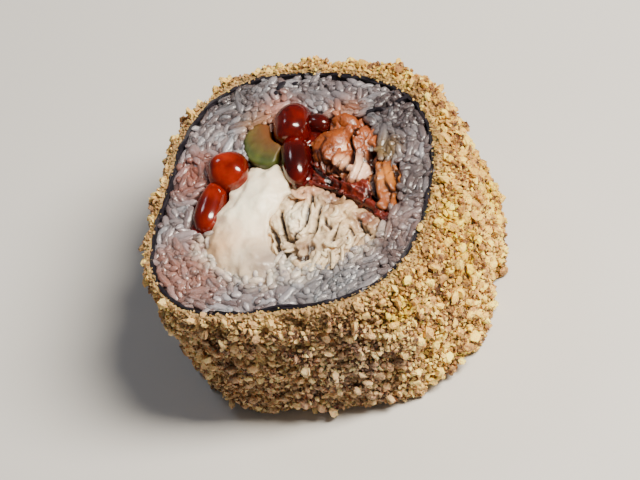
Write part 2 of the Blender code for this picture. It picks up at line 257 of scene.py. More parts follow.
# %% Model the crumb shapes
def crumb_shape(number, kind):
    """One crumb of bread, about one unit long, with its own random form."""
    bpy.ops.object.select_all(action="DESELECT")
    if kind == "block":
        bpy.ops.mesh.primitive_cube_add(size=0.7)
    elif kind == "splinter":
        bpy.ops.mesh.primitive_cone_add(vertices=4, radius1=0.5, depth=0.9)
    elif kind == "shard":
        bpy.ops.mesh.primitive_ico_sphere_add(subdivisions=1, radius=0.5)
    else:
        bpy.ops.mesh.primitive_uv_sphere_add(segments=8, ring_count=7, radius=0.5)
    sides = (1, 0.62 + 0.09 * (number % 4), 0.42 + 0.08 * (number % 3))
    crumb = squeezed(f"crumb_shape_{number}", sides, 0.12 if kind == "flake" else 0.2, 0.7, number)
    bpy.ops.object.shade_smooth_by_angle(angle=math.radians(55))
    return crumb


dust_shapes = [crumb_shape(number, ("block", "splinter")[number % 2]) for number in range(8)]
shard_shapes = [crumb_shape(number, "shard") for number in range(10, 18)]
flake_shapes = [crumb_shape(number, "flake") for number in range(20, 28)]
print("A block of dust has", len(dust_shapes[0].data.polygons), "faces")
print("A flake has", len(flake_shapes[0].data.polygons), "faces")

# %% [markdown]
# Materials and Geometry Nodes are both made of nodes, so one helper adds a node to either.
# Its settings are the node's own choices, and each socket gets a value or another node's output.

# %% A helper that adds a node
def add_node(owner, kind, sockets, **settings):
    """Add a node to a material or a node tree; sockets maps a name or number to what it gets."""
    tree = getattr(owner, "node_tree", owner)
    node = tree.nodes.new(kind)
    for name, value in settings.items():
        setattr(node, name, value)
    for name, value in sockets.items():
        if isinstance(value, bpy.types.NodeSocket):
            tree.links.new(value, node.inputs[name])
        else:
            node.inputs[name].default_value = value
    return node


# %% [markdown]
# Thousands of crumbs are a job for Geometry Nodes, built here as in the node editor:
# points are thrown on the crust at an even distance and raised a little, and a crumb shape is set
# on each with its own turn, size and tint. Realizing the instances leaves plain mesh.
# Crumbs go on the wall and the rim, and there are none where the slice lies on its base.

# %% Scatter the crumbs
CRUMB_LIFT = 0.22
CRUMB_DENSITY = 3
BASE_REACH = 0.4 * MM


def new_group(name, shapes):
    """A collection of shapes for the scatter to choose from."""
    group = bpy.data.collections.new(name)
    for shape in shapes:
        group.objects.link(shape)
    return group


def scatter_tree(name, shapes, where, spacing, smallest, largest, seed):
    """The node tree that turns a surface into a layer of crumbs."""
    tree = bpy.data.node_groups.new(name, "GeometryNodeTree")
    for side in ("INPUT", "OUTPUT"):
        tree.interface.new_socket("Geometry", in_out=side, socket_type="NodeSocketGeometry")
    surface = add_node(tree, "NodeGroupInput", {}).outputs[0]
    share = add_node(tree, "GeometryNodeInputNamedAttribute", {"Name": where}, data_type="FLOAT")
    throw = add_node(tree, "GeometryNodeDistributePointsOnFaces", {
        "Mesh": surface, "Density Factor": share.outputs["Attribute"], "Distance Min": spacing,
        "Density Max": CRUMB_DENSITY / spacing ** 2, "Seed": seed}, distribute_method="POISSON")
    lift = add_node(tree, "ShaderNodeVectorMath", {
        0: throw.outputs["Normal"], "Scale": CRUMB_LIFT * largest}, operation="SCALE")
    raised = add_node(tree, "GeometryNodeSetPosition", {
        "Geometry": throw.outputs["Points"], "Offset": lift.outputs[0]})
    shelf = add_node(tree, "GeometryNodeCollectionInfo", {
        "Collection": new_group(name, shapes), "Separate Children": True, "Reset Children": True})
    turn = add_node(tree, "FunctionNodeRandomValue", {
        1: (2 * math.pi,) * 3, "Seed": seed + 1}, data_type="FLOAT_VECTOR")
    size = add_node(tree, "FunctionNodeRandomValue", {2: smallest, 3: largest, "Seed": seed + 2})
    plant = add_node(tree, "GeometryNodeInstanceOnPoints", {
        "Points": raised.outputs[0], "Instance": shelf.outputs[0], "Pick Instance": True,
        "Rotation": turn.outputs[0], "Scale": size.outputs[1]})
    tint = add_node(tree, "FunctionNodeRandomValue", {"Seed": seed + 3})
    tinted = add_node(tree, "GeometryNodeStoreNamedAttribute", {
        "Geometry": plant.outputs[0], "Name": "tint", "Value": tint.outputs[1]}, domain="INSTANCE")
    real = add_node(tree, "GeometryNodeRealizeInstances", {"Geometry": tinted.outputs[0]})
    add_node(tree, "NodeGroupOutput", {0: real.outputs[0]})
    return tree


def crumb_layer(name, shapes, where, *measures):
    """A layer of crumbs over the crust; measures are spacing, least size, largest size and seed."""
    layer = in_scene(name, crust.data.copy())
    apply_modifier(layer, "NODES", node_group=scatter_tree(name + "_tree", shapes, where, *measures))
    throw_away(shapes)
    return layer


def mark(name, rule):
    """Write a number at each point of the crust, worked out from its place and its normal."""
    note(crust, name, [rule(point.co, point.normal) for point in crust.data.vertices])


def bare(place, normal):
    """0 on the base, 1 elsewhere."""
    return 0 if normal.z < -0.5 or place.z < BASE_REACH else 1


def dusty(place, normal):
    """1 where dust clings: on the rim and the wall, but not where the crust touches the seaweed."""
    return bare(place, normal) * (normal.z > 0.3 or from_seaweed(place) > SEAWEED_GAP)


mark("crumbly", lambda spot, normal: bare(spot, normal) * ease(from_seaweed(spot), 0.4 * MM, 0.9 * MM))
mark("dusty", dusty)
mark("rim", lambda spot, normal: 1 - ease(from_seaweed(spot), 0.8 * MM, 2.6 * MM))
crumb_dust = crumb_layer("crumb_dust", dust_shapes, "dusty", 0.37 * MM, 0.3 * MM, 0.75 * MM, 5)
crumb_shards = crumb_layer("crumb_shards", shard_shapes, "crumbly", 0.64 * MM, 0.6 * MM, 1.15 * MM, 15)
crumb_flakes = crumb_layer("crumb_flakes", flake_shapes, "crumbly", 1.9 * MM, 1.1 * MM, 2.2 * MM, 25)

# %% [markdown]
# A layer of crumbs must not grow past the size of the real slice.
# Its outermost points are held at the solid model's box, a clamp that touches only a few crumbs.

# %% Hold the crumbs inside the slice's size
for layer in (crust, crumb_dust, crumb_shards, crumb_flakes):
    for point in layer.data.vertices:
        for axis in range(3):
            point.co[axis] = min(max(point.co[axis], cad_box[0][axis]), cad_box[1][axis])
    print(layer.name, "measures", [round(side / MM, 1) for side in layer.dimensions])

# %% [markdown]
# The seaweed is a sheet half a millimetre thick that shows only as a dark line round the rice.
# Wet seaweed swells, so the copy grows a little towards the coat and the rice. A knife leaves such
# an edge slightly torn. So the copy is cut into short stretches near its two edges, and there
# a smooth noise moves the points. The line wanders most at the sheet's inner end, which turns in.

# %% Model the seaweed sheet
RING_RADIUS = 22 * MM
TORN_DEPTH = 2.6 * MM


def torn(place):
    """1 at the two cut edges of the sheet, falling to 0 a little way in."""
    return 1 - ease(min(place.z, SLICE_HEIGHT - place.z), 0, TORN_DEPTH)


seaweed = copy_of("nori", "seaweed")
pick(seaweed)
bpy.ops.object.mode_set(mode="EDIT")
bpy.ops.mesh.select_all(action="SELECT")
bpy.ops.mesh.subdivide(number_cuts=2)
for depth in (0.4 * MM, 1.0 * MM, 2.2 * MM):
    for height in (SLICE_HEIGHT - depth, depth):
        bpy.ops.mesh.select_all(action="SELECT")
        bpy.ops.mesh.bisect(plane_co=(0, 0, height), plane_no=UP)
bpy.ops.object.mode_set(mode="OBJECT")
grow(seaweed, 0.12 * MM)
for point in seaweed.data.vertices:
    loose = ease(RING_RADIUS - (point.co - ROLL_AXIS).xy.length, 0.5 * MM, 3 * MM)
    drift = noise.noise_vector(point.co / (2.4 * MM)) * (0.2 + 0.5 * loose) * MM
    drift += noise.noise_vector(point.co / (0.6 * MM)) * 0.1 * MM
    point.co += drift * torn(point.co)
weigh(seaweed, "torn", torn)
relief(seaweed, 1.6 * MM, 0.5 * MM, group="torn", middle=0.8)
print("The seaweed has", len(seaweed.data.polygons), "faces")

# %% [markdown]
# Sushi rice is pressed, so its grains touch and lie along each other. A grain is a long rounded
# body of a few dozen faces. Whole ones lie flat in the cut, lined up loosely with the roll, and
# broken bits fill the gaps. The knife has gone through all of them, so what stands above the cut
# is pressed down to a low dome. Along the lower edge of the fillings it dragged cheese and meat
# over the rice, so grains come through there. Below the grains lies the body of rice, a copy of
# the solid with its top let down.

# %% Model the rice body
RICE_SINK = 0.75 * MM
RICE_SKIN = 0.5 * MM


def near_cut(place, low, high):
    """0 at low millimetres below the cut face and deeper, 1 from high millimetres below it upwards."""
    return ease(place.z, SLICE_HEIGHT - low * MM, SLICE_HEIGHT - high * MM)


def sink_top(piece, amount, low=2.5, high=0.5):
    """Let the cut face of a piece down by this much."""
    for point in piece.data.vertices:
        point.co.z -= amount * near_cut(point.co, low, high)


rice_body = copy_of("rice", "rice_body")
remesh(rice_body, RICE_SKIN)
grow(rice_body, 0.16 * MM)
lay_on_seaweed(rice_body, 1.5 * SEAWEED_GAP)
sink_top(rice_body, RICE_SINK, low=2)
relief(rice_body, 1.3 * MM, 0.4 * MM)
print("The rice body has", len(rice_body.data.polygons), "faces")

# %% Model the rice grain shapes
GRAIN_HALF_WIDTH = 0.7 * MM
GRAIN_HALF_LENGTH = 1.9 * MM
END_REACH = 0.98


def to_end(along, half_length):
    """How far along a body a point lies, from -1 at one end to 1 at the other, held off the ends."""
    return max(-END_REACH, min(END_REACH, along / half_length))


def fuller(reach, power):
    """How much fatter a blunt body is than a round one at this reach."""
    return math.sqrt((1 - abs(reach) ** power) / (1 - reach * reach))


def grain_shape(number):
    """One cooked grain, plump with blunt ends, with its own slight bend."""
    bpy.ops.object.select_all(action="DESELECT")
    bpy.ops.mesh.primitive_uv_sphere_add(segments=8, ring_count=8, radius=GRAIN_HALF_WIDTH)
    length = (0.9 + 0.05 * number) * GRAIN_HALF_LENGTH
    sides = (1.1, 0.92 + 0.04 * number, length / GRAIN_HALF_WIDTH)
    grain = squeezed(f"grain_shape_{number}", sides, 0.06 * MM, 0.5, number)
    for point in grain.data.vertices:
        reach = to_end(point.co.z, length)
        blunt = fuller(reach, 3) * (1 - 0.12 * reach)
        point.co.x = point.co.x * blunt + (0.3 - 0.12 * number) * reach * reach * MM
        point.co.y *= blunt
    return grain


grain_shapes = [grain_shape(number) for number in range(5)]
print("A grain has", len(grain_shapes[0].data.polygons), "faces")

# %% Find places for the grains
FACE_RADIUS = 23  # in millimetres
GRAIN_GAP = 0.8 * MM
BIT_GAP = 0.64 * MM
SPOT_REACH = 0.62
GRAIN_ROUNDS = ((24000, GRAIN_GAP, 0.85, 1.1, True), (16000, BIT_GAP, 0.55, 0.85, False))
TOP_LEVEL = SLICE_HEIGHT - 0.55 * MM
BASE_LEVEL = 0.6 * MM
DRAG_SINK = 0.3 * MM
DRAG_REACH = 1.8 * MM
DRAG_START = -9 * MM
PRESS_START = SLICE_HEIGHT - 0.15 * MM
PRESS_SHARE = 0.6


def shows(node, place):
    """True where the cut face shows this solid."""
    touch = SKINS[node].ray_cast(Vector((place.x, place.y, 2 * SLICE_HEIGHT)), DOWN)[0]
    return touch is not None and touch.z > SLICE_HEIGHT - 2 * MM


def to_wall(node, place):
    """The distance from a place on the face to a solid's wall, measured at half the slice's height."""
    return SKINS[node].find_nearest(Vector((place.x, place.y, 0.5 * SLICE_HEIGHT)))[3]


def takes_grains(place):
    """True on the rice, and on the lower left edge of the soft fillings."""
    if shows("rice", place):
        return True
    beside = place - ROLL_AXIS
    if beside.x + beside.y > DRAG_START or not (shows("cream_cheese", place) or shows("crab", place)):
        return False
    return to_wall("rice", place) < DRAG_REACH


def spots_along(place, angle, whole):
    """Three spots along a grain that lies in the face, or its middle alone for a broken bit."""
    run = Vector((math.cos(angle), math.sin(angle), 0)) * SPOT_REACH * GRAIN_HALF_LENGTH
    return [place - run, place, place + run] if whole else [place]


class Crowd:
    """The spots taken so far, kept in square cells so that a test looks only at near ones."""

    def __init__(self):
        self.cells = {}

    def cell(self, spot):
        return int(spot.x // GRAIN_GAP), int(spot.y // GRAIN_GAP)

    def add(self, spots):
        for spot in spots:
            self.cells.setdefault(self.cell(spot), []).append(spot)

    def is_free(self, spot, gap):
        column, row = self.cell(spot)
        near = [self.cells.get((column + i, row + j), []) for i in (-1, 0, 1) for j in (-1, 0, 1)]
        return all((spot - other).length > gap for cell in near for other in cell)


def grain_places(seed, level):
    """Where grains lie in a cut face at this height: whole ones first, then broken bits."""
    draw = random.Random(seed)
    crowd, found = Crowd(), []
    for tries, gap, smallest, largest, whole in GRAIN_ROUNDS:
        for _ in range(tries):
            turn = draw.uniform(0, 2 * math.pi)
            away = Vector((math.cos(turn), math.sin(turn), 0)) * FACE_RADIUS * MM
            place = ROLL_AXIS + away * math.sqrt(draw.random())
            angle = turn + math.pi / 2 + draw.gauss(0, 0.9)
            spots = spots_along(place, angle, whole)
            if not all(takes_grains(spot) and crowd.is_free(spot, gap) for spot in spots):
                continue
            crowd.add(spots)
            tilt = math.pi / 2 + draw.gauss(0, 0.14 if whole else 0.7)
            lie = Euler((draw.uniform(-0.3, 0.3), tilt, angle), "XYZ").to_matrix().to_4x4()
            size = Matrix.Scale(draw.uniform(smallest, largest), 4)
            sink = 0 if shows("rice", place) else DRAG_SINK
            rise = level - sink + draw.uniform(-0.3, 0.1) * MM
            move = Matrix.Translation((place.x, place.y, rise))
            found.append((draw.randrange(5), move @ lie @ size, draw.random()))
    return found


places = grain_places(3, TOP_LEVEL) + grain_places(4, BASE_LEVEL)
rice_grains = planted("rice_grains", grain_shapes, places)
for point in rice_grains.data.vertices:
    above = point.co.z - PRESS_START
    if above > 0:
        point.co.z -= PRESS_SHARE * above

# %% [markdown]
# Cream cheese is soft and closed: a low dome that rises to a peak at the roe and thins out at its
# edge. A copy of the solid with a fine skin gets two scales of low relief. Its top is let down
# towards the wall, further in some places than in others, and the knife leaves faint drag marks.

# %% Model the cream cheese
FILLING_SKIN = 0.32 * MM
FILLING_GROWTH = 0.14 * MM


def filling(node, name, skin=FILLING_SKIN, soften=4, growth=FILLING_GROWTH):
    """A smooth copy of a filling, grown towards what lies beside it."""
    piece = copy_of(node, name)
    remesh(piece, skin)
    grow(piece, growth)
    apply_modifier(piece, "SMOOTH", factor=0.5, iterations=soften)
    return piece


cheese = filling("cream_cheese", "cheese", soften=8)
relief(cheese, 4.4 * MM, 1.9 * MM)
relief(cheese, 1.6 * MM, 0.4 * MM)
for point in cheese.data.vertices:
    wall = to_wall("cream_cheese", point.co)
    wall += 0.9 * MM * noise.noise(point.co.xy.to_3d() / (1.5 * MM))
    thin = 1 - ease(wall, 0.2 * MM, 2.8 * MM)
    point.co.z -= 0.9 * MM * thin * near_cut(point.co, 2, 0.5)
    along, across = point.co.x - point.co.y, point.co.x + point.co.y
    drag = noise.noise(Vector((across / (0.7 * MM), along / (6 * MM), 3)))
    point.co.z += 0.1 * MM * drag * near_cut(point.co, 2, 0)

# %% [markdown]
# Meat and fish break into flakes that lie like shingles: each leans a little, and a dark gap parts
# it from the next. A Voronoi pattern has such cells, and the difference of the two nearest
# distances is zero along their borders. So a helper tips the surface within each cell, which leaves
# a step at its border, and sinks it along the border. It notes for the material how near the border
# a point is, in gap, and gives each flake its own tint. A way turns a place into the flakes' own
# directions, so that they can be long along the fibres or curl round a point.

# %% A helper that breaks a surface into flakes
def straight(turn):
    """The way of fibres that run in one direction in the face, given in degrees."""
    cosine, sine = math.cos(math.radians(turn)), math.sin(math.radians(turn))
    return lambda place: (place.x * cosine + place.y * sine, place.y * cosine - place.x * sine, place.z)


def flaked(piece, way, size, depth, lean=0.8, threads=0.08, edge=0.24, broken=0.2, seed=0):
    """Break a surface into flakes: size is their length, width and height, in millimetres.

    Broken says how many of the borders open, from about -0.3 for few to 0.4 for all.
    """
    normals = [point.normal.copy() for point in piece.data.vertices]
    gaps, tints = [], []
    for point, normal in zip(piece.data.vertices, normals):
        local = [part / MM for part in way(point.co)]
        spot = Vector([part / side for part, side in zip(local, size)]) + Vector((0, 0, 7.3 * seed))
        spot += 0.3 * noise.noise_vector(1.3 * spot)
        reaches, middles = noise.voronoi(spot)
        own = noise.cell(middles[0] * 91.7)
        fade = ease(noise.noise(0.7 * spot + Vector((3, 1, 2))) + broken, -0.3, 0.3)
        inside = 1 - fade * (1 - min(1, (reaches[1] - reaches[0]) / edge))
        tip = lean * (spot - middles[0]).dot(Vector((0.4 * own, 1, 0.5)))
        thread = threads * noise.noise(Vector((local[0] / 2.4, local[1] / 0.45, local[2] / 0.8)))
        gaps.append(1 - inside)
        tints.append(0.5 + 0.5 * own)
        point.co += normal * MM * (thread + tip - depth * (1 - math.sqrt(inside * (2 - inside))))
    note(piece, "gap", gaps)
    note(piece, "tint", tints)


# %% [markdown]
# The most telling gaps aren't left to chance. A groove is a smooth curve through two to five places
# on the face, after its own half width. A search tree of points along all curves says how far
# a place is from the nearest one, and there the surface is pushed down and marked as gap, where
# the material lays sauce and painted shade.

# %% A helper that cuts grooves at chosen places
def run_through(points, steps=14):
    """Points along a smooth curve through a few places on the face."""
    padded = [points[0], *points, points[-1]]
    found = []
    for spots in zip(padded, padded[1:], padded[2:], padded[3:]):
        for step in range(steps + 1):
            t = step / steps
            found.append([0.5 * (2 * b + (c - a) * t + (2 * a - 5 * b + 4 * c - d) * t ** 2
                                 + (3 * b - a - 3 * c + d) * t ** 3) for a, b, c, d in zip(*spots)])
    return found


def groove_finder(grooves):
    """A function that says how deep in a groove a place lies, from 0 beside it to 1 in its middle."""
    spots = [(on_face(x, y).xy.to_3d(), width * MM)
             for width, *points in grooves for x, y in run_through(points)]
    tree = KDTree(len(spots))
    for number, (spot, _) in enumerate(spots):
        tree.insert(spot, number)
    tree.balance()

    def depth_at(place):
        wander = 0.25 * MM * noise.noise_vector(place / (0.9 * MM))
        _, number, far = tree.find((place + wander).xy.to_3d())
        width = spots[number][1]
        return 1 - ease(far, 0.2 * width, width)

    return depth_at


def grooved(piece, grooves, depth):
    """Cut grooves into the top of a flaked piece."""
    depth_at = groove_finder(grooves)
    gaps = piece.data.attributes["gap"].data
    for point in piece.data.vertices:
        cut = depth_at(point.co) * near_cut(point.co, 3, 1)
        point.co.z -= depth * cut
        gaps[point.index].value = max(gaps[point.index].value, cut)


# %% [markdown]
# The white meat shows one long oval shell with dark arcs round it, and looser flakes beside it.
# Near the oval's middle the way runs round in rings, and eight grooves make the dark arcs.

# %% Model the white meat
MEAT_MIDDLE = (-1.5, -5.2)
MEAT_TURN = math.radians(60)
OVAL_SHAPE = 0.72
OVAL_REACH = 3.9 * MM
FLESH_SKIN = 0.2 * MM
FLESH_GROWTH = 0.04 * MM
FLESH_SINK = 0.1 * MM
MEAT_GROOVES = (
    (0.55, (2.2, -1.8), (1.1, -4.2), (-0.5, -5.9), (-3.4, -7.8)),
    (0.5, (-2.8, -1.4), (-3.5, -4), (-3.9, -6), (-3.2, -7.8)),
    (0.5, (2.6, -4.4), (1.7, -6), (0.7, -7.4), (-0.4, -8.5)),
    (0.5, (-5.0, -3.2), (-5.3, -5.5), (-5.8, -7.5), (-5.0, -9.4)),
    (0.8, (-4.4, -10.3), (-3.3, -11.6), (-1.6, -10.0)),
    (0.5, (2.0, -7.8), (2.1, -9.3)),
    (0.4, (4.4, -10.6), (4.5, -12.2)),
    (0.4, (6.2, -10.4), (6.0, -11.9), (6.6, -13.4)),
)


def curl(place):
    """Rings round the middle of the meat, and a plain way beyond them."""
    local = place - on_face(*MEAT_MIDDLE)
    along = local.x * math.cos(MEAT_TURN) + local.y * math.sin(MEAT_TURN)
    across = local.y * math.cos(MEAT_TURN) - local.x * math.sin(MEAT_TURN)
    reach = math.hypot(OVAL_SHAPE * along, across) + 0.7 * MM * noise.noise(place / (2.6 * MM))
    if reach > OVAL_REACH:
        return 0.9 * local.x, 0.75 * local.y + 9 * MM, local.z
    turn = math.atan2(across, OVAL_SHAPE * along) + 0.25 * reach / MM
    return 2.2 * MM * math.cos(turn), reach, 2.2 * MM * math.sin(turn)


def lumpy_flesh(node, name):
    """A filling of meat or fish, lumpy and ready to be broken into flakes."""
    flesh = filling(node, name, skin=FLESH_SKIN, soften=3, growth=FLESH_GROWTH)
    sink_top(flesh, FLESH_SINK)
    relief(flesh, 2.6 * MM, 1.3 * MM)
    return flesh


meat = lumpy_flesh("crab", "meat")
flaked(meat, curl, (4.6, 1.7, 4.6), 0.9, lean=0.6, threads=0.2, edge=0.2, broken=-0.05)
grooved(meat, MEAT_GROOVES, 0.8 * MM)

# %% [markdown]
# The knife pulled a few shreds loose. Each is a flat ribbon, extruded ring by ring from a small
# circle and bent. They lie on the meat in bundles, but not in its grooves.

# %% Model and plant the strands
STRAND_WIDTH = 0.75 * MM
STRAND_HEIGHT = 0.4 * MM
STRAND_RINGS = 8
STRAND_TRIES = 900
STRAND_CHANCE = 0.14
SHELL_CHANCE = 0.01
SHELL_RADIUS = 4 * MM
QUARTER_TURNS = (0, 1.57, 3.14, 4.71)


def strand_shape(number):
    """One strand along a circular arc, its middle at the origin."""
    length, turn = (3.6 - 0.2 * number) * MM, 0.4 + 0.3 * number
    bpy.ops.object.select_all(action="DESELECT")
    bpy.ops.mesh.primitive_circle_add(vertices=6, radius=0.5, fill_type="NGON")
    strand = bpy.context.object
    strand.name = f"strand_{number}"
    bpy.ops.object.mode_set(mode="EDIT")
    for _ in range(STRAND_RINGS):
        bpy.ops.mesh.extrude_region_move(TRANSFORM_OT_translate={"value": (0, 0, 1)})
    bpy.ops.mesh.select_all(action="SELECT")
    bpy.ops.mesh.normals_make_consistent(inside=False)
    bpy.ops.object.mode_set(mode="OBJECT")
    for point in strand.data.vertices:
        share = point.co.z / STRAND_RINGS
        swell = 0.3 + 0.7 * math.sin(math.pi * (0.06 + 0.88 * share)) ** 0.5
        side, rise = point.co.x * STRAND_WIDTH * swell, point.co.y * STRAND_HEIGHT * swell
        angle = turn * (share - 0.5)
        radius = length / turn
        out = radius + side
        point.co = Vector((out * math.sin(angle), radius - out * math.cos(angle), rise))
        point.co += 0.09 * MM * noise.noise_vector(point.co / (0.5 * MM))
    return strand


def on_meat(place, reach):
    """True where the meat lies under the place and all round it."""
    sides = (Vector((math.cos(turn), math.sin(turn), 0)) for turn in QUARTER_TURNS)
    spots = [place + side * reach for side in sides]
    tops = [Vector((spot.x, spot.y, 2 * SLICE_HEIGHT)) for spot in spots]
    return all(SKINS["crab"].ray_cast(top, DOWN)[0] is not None for top in tops)


def strand_places():
    """Ribbons lined up in bundles, and hardly any on the oval shell."""
    draw = random.Random(11)
    middle = on_face(*MEAT_MIDDLE)
    depth_at = groove_finder([(groove[0] + 0.5, *groove[1:]) for groove in MEAT_GROOVES])
    found = []
    for _ in range(STRAND_TRIES):
        place = on_face(draw.uniform(-7, 9), draw.uniform(-16, 2))
        beside = (place - middle).length > SHELL_RADIUS
        chance = STRAND_CHANCE if beside else SHELL_CHANCE
        if not on_meat(place, 0.6 * MM) or draw.random() > chance:
            continue
        if depth_at(place) > 0:
            continue
        if beside:
            angle = 3 * noise.noise(place / (3.5 * MM)) + draw.gauss(0, 0.3)
        else:
            angle = math.atan2(place.y - middle.y, place.x - middle.x) + math.pi / 2
        lie = Euler((draw.gauss(0, 0.35), draw.gauss(0, 0.18), angle)).to_matrix().to_4x4()
        size = Matrix.Diagonal((draw.uniform(0.5, 1), draw.uniform(0.7, 1.4), draw.uniform(0.7, 1.2), 1))
        move = Matrix.Translation(place + UP * draw.uniform(-0.5, 0.05) * MM)
        found.append((draw.randrange(5), move @ lie @ size, draw.random()))
    return found


meat_strands = planted("meat_strands", [strand_shape(number) for number in range(5)], strand_places())

# %% [markdown]
# The salmon is fried and flaked: one big browned lump, a browned edge, pale breaks and yellow ends.
# Its body, a copy of the solid, is broken into flakes along the fibres. The big lump is a sphere of
# small faces, flattened, knocked out of round by a broad noise, flaked too, and set into the body.
# Long dark grooves are cut last: one under the big lump's lip, where a painted highlight lies as a pale
# band, and one before the yellow end.

# %% Model the salmon
GROOVE_DEPTH = 0.7 * MM
SALMON_GROOVES = (
    (0.4, (11.2, 3.2), (10.6, 0.8), (9.4, -0.7), (7.0, -2.1)),
    (0.65, (13.2, 0), (12.1, -1.3), (11.5, -3.9), (10.4, -6), (9.8, -9.2)),
    (0.5, (14.4, -6.2), (13.3, -8.4)),
    (0.6, (4.5, 2.8), (5.1, 0.5), (5.3, -1.6)),
)


def set_in_face(shape, place, turn):
    """Turn a shape by some degrees, set it at its place in the cut face and shade it smooth."""
    to_place = Matrix.Translation(on_face(*place)) @ Matrix.Rotation(math.radians(turn), 4, "Z")
    shape.data.transform(to_place)
    bpy.ops.object.shade_smooth()
    return shape


def lump(name, place, size, turn, seed):
    """A lump set in the face: size is length, width and height in millimetres."""
    bpy.ops.object.select_all(action="DESELECT")
    bpy.ops.mesh.primitive_ico_sphere_add(subdivisions=5 if size[0] > 3 else 3, radius=0.5)
    made = squeezed(name, [side * MM for side in size])
    shift = Vector((7.3, 3.1, 5.7)) * seed
    for point in made.data.vertices:
        broad = noise.noise(point.co / (0.4 * size[0] * MM) + shift)
        small = noise.noise(point.co / (0.9 * MM) + shift)
        point.co *= 1 + 0.2 * broad + 0.04 * small
    return set_in_face(made, place, turn)


def joined(name, parts):
    """Several modelled parts as one piece."""
    pick(*parts)
    bpy.ops.object.join()
    parts[0].name = name
    return parts[0]


def fish(node, name, turn, size, depth, seed, groove_depth=GROOVE_DEPTH):
    """A filling of fish: broken into flakes along its fibres, and grooved."""
    body = lumpy_flesh(node, name)
    flaked(body, straight(turn), size, depth, seed=seed)
    grooved(body, SALMON_GROOVES, groove_depth)
    return body


salmon = fish("salmon", "salmon_flakes", 45, (4.4, 1.5, 3), 0.9, 1)
browned = joined("salmon_browned", [
    lump("browned_round", (8.3, 4.1, -0.8), (6.4, 5.6, 3.8), 50, 1),
    lump("browned_band", (11.9, 6.6, -0.9), (4.6, 2.8, 2.6), -52, 2),
])
flaked(browned, straight(50), (5, 2.6, 3), 0.16, lean=0.14, threads=0.04, seed=4)
grooved(browned, SALMON_GROOVES, GROOVE_DEPTH)
salmon_end = fish("salmon_end", "salmon_end_flakes", 68, (4.2, 1.5, 3), 0.9, 2)

# %% [markdown]
# The dark strip is glazed fish flesh whose fibres run along it, in long thin flakes.

# %% Model the dark strip
dark_strip = fish("dark_fish", "dark_strip", -57, (3.6, 1.1, 1.6), 0.7, 3, groove_depth=0.5 * MM)

# %% [markdown]
# Cucumber is firm, so the knife leaves its cut flat, with a clear edge. The top of the copy is drawn
# to the height of the cut, and a fine, low noise in that height tells its cells.

# %% Model the cucumber
cucumber = filling("cucumber", "cucumber_strip", skin=0.24 * MM, soften=2, growth=0.1 * MM)
relief(cucumber, 2.6 * MM, 0.5 * MM)
for point in cucumber.data.vertices:
    cells = noise.noise(point.co / (0.9 * MM)) + 0.6 * noise.noise(point.co / (0.4 * MM))
    flat = SLICE_HEIGHT + (0.05 + 0.1 * cells) * MM
    point.co.z += (flat - point.co.z) * near_cut(point.co, 2.2, 0.7)

# %% [markdown]
# Each egg of the roe is a taut ball that bulges over the cut, and some are squeezed long between
# their neighbours. The eggs are spheres knocked slightly out of round, set where the solid model
# has its own balls, and a body of crushed roe fills the space below them.

# %% Model the roe
EGGS_LEFT = (((-6.5, 9.5, -0.1), (6.4, 6.2, 5.6), 70), ((-11.2, 5.9, -0.8), (9.0, 4.2, 4.0), 50))
EGGS_MIDDLE = (((5.0, 11.0, -0.3), (6.6, 5.6, 5.8), 66), ((8.5, 9.4, -0.9), (3.8, 3.0, 3.0), -50),
               ((2.9, 5.6, -0.9), (9.2, 4.4, 4.4), 68))


def egg(seed, place, size, turn):
    """One egg at its place: size is length, width and height in millimetres."""
    bpy.ops.object.select_all(action="DESELECT")
    bpy.ops.mesh.primitive_uv_sphere_add(segments=48, ring_count=32, radius=0.5)
    made = squeezed(f"egg_{seed}", [side * MM for side in size])
    half_length = 0.5 * size[0] * MM
    for point in made.data.vertices:
        blunt = fuller(to_end(point.co.x, half_length), 2.6)
        dent = noise.noise(point.co / half_length + Vector((seed, 2, 5)))
        point.co *= 1 + 0.16 * dent
        point.co.y *= blunt
        point.co.z *= blunt
    return set_in_face(made, place, turn)


def crushed(node, name):
    """The body of roe below the eggs."""
    body = filling(node, name, soften=6)
    sink_top(body, 1.8 * MM, low=3, high=-2)
    relief(body, 1.2 * MM, 0.5 * MM)
    return body


left_eggs = joined("roe_eggs_left", [egg(seed, *spot) for seed, spot in enumerate(EGGS_LEFT)])
middle_eggs = joined("roe_eggs_middle", [egg(seed, *spot) for seed, spot in enumerate(EGGS_MIDDLE, 5)])
left_body = crushed("roe_left", "roe_body_left")
middle_body = crushed("roe_middle", "roe_body_middle")

# %% [markdown]
# The knife carried flecks of seaweed onto the rice: three larger ones, and a trail of small ones
# towards the salmon. Each is a lump pressed nearly flat.

# %% Model the flecks of seaweed
seaweed_flecks = joined("seaweed_flecks", [
    lump("fleck_large", (6.6, 18.6, 0.1), (1.9, 1.1, 0.3), 20, 14),
    lump("fleck_middle", (8.6, 17.6, 0.08), (1.0, 0.5, 0.25), -30, 16),
    lump("fleck_small", (5.4, 17.9, 0.08), (0.8, 0.6, 0.25), 100, 15),
    *(lump(f"fleck_{step}", (9.6 + 0.9 * step, 16.8 - 0.9 * step, 0.1), (0.5, 0.3, 0.2), 40 * step, step)
      for step in range(5)),
])

# %% [markdown]
# Now the finishes. A colour from a photograph is a display value, and a shader wants a linear one,
# so the first helper converts. The others add nodes in one line: a noise of a given lump size,
# a ramp from one colour to the next, a mix of two colours and a bump. Patterns are read from Object
# coordinates in metres. A fine lump needs a scale of thousands, more than the noise's own socket
# takes, so a Mapping node scales the coordinates.

